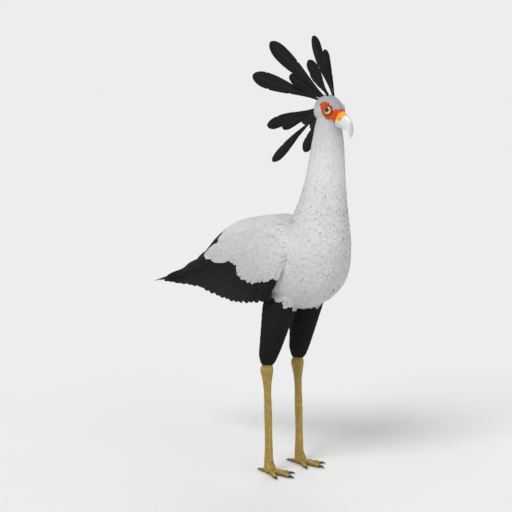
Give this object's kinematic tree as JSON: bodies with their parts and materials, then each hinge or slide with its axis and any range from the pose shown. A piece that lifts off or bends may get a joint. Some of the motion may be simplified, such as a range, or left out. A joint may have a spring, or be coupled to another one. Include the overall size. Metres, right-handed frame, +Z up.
{
  "type": "secretary bird",
  "caption": "Still, life-size secretary bird standing upright on long bare legs, with folded wings, a hooked bill and a raised fan of crest feathers.",
  "frame": {"origin": "on the ground under the middle of the bird's bounding box", "axes": "+X the way the bird faces, +Y its left side, +Z up"},
  "size_m": [0.8415, 0.3014, 1.3833],
  "materials": {
    "grey_plumage": "soft pale grey feathers",
    "black_plumage": "soft black feathers",
    "wing_plumage": "grey coverts over black flight feathers",
    "cere_skin": "smooth bare skin",
    "bill_horn": "polished pale horn",
    "leg_scales": "dry scaled skin",
    "claw_horn": "worn dark horn",
    "eye_glass": "wet and glossy"
  },
  "bodies": {
    "root": {"head": "grey_plumage", "neck": "grey_plumage", "torso": "grey_plumage", "tail": "wing_plumage", "cere": "cere_skin", "bill_upper": "bill_horn", "bill_lower": "bill_horn", "eye_left": "eye_glass", "wing_left": "wing_plumage", "thigh_left": "black_plumage", "shank_left": "leg_scales", "foot_left": "leg_scales", "claw_middle_left": "claw_horn", "claw_inner_left": "claw_horn", "claw_outer_left": "claw_horn", "claw_hind_left": "claw_horn", "eye_right": "eye_glass", "wing_right": "wing_plumage", "thigh_right": "black_plumage", "shank_right": "leg_scales", "foot_right": "leg_scales", "claw_middle_right": "claw_horn", "claw_inner_right": "claw_horn", "claw_outer_right": "claw_horn", "claw_hind_right": "claw_horn"}
  },
  "joints": []
}
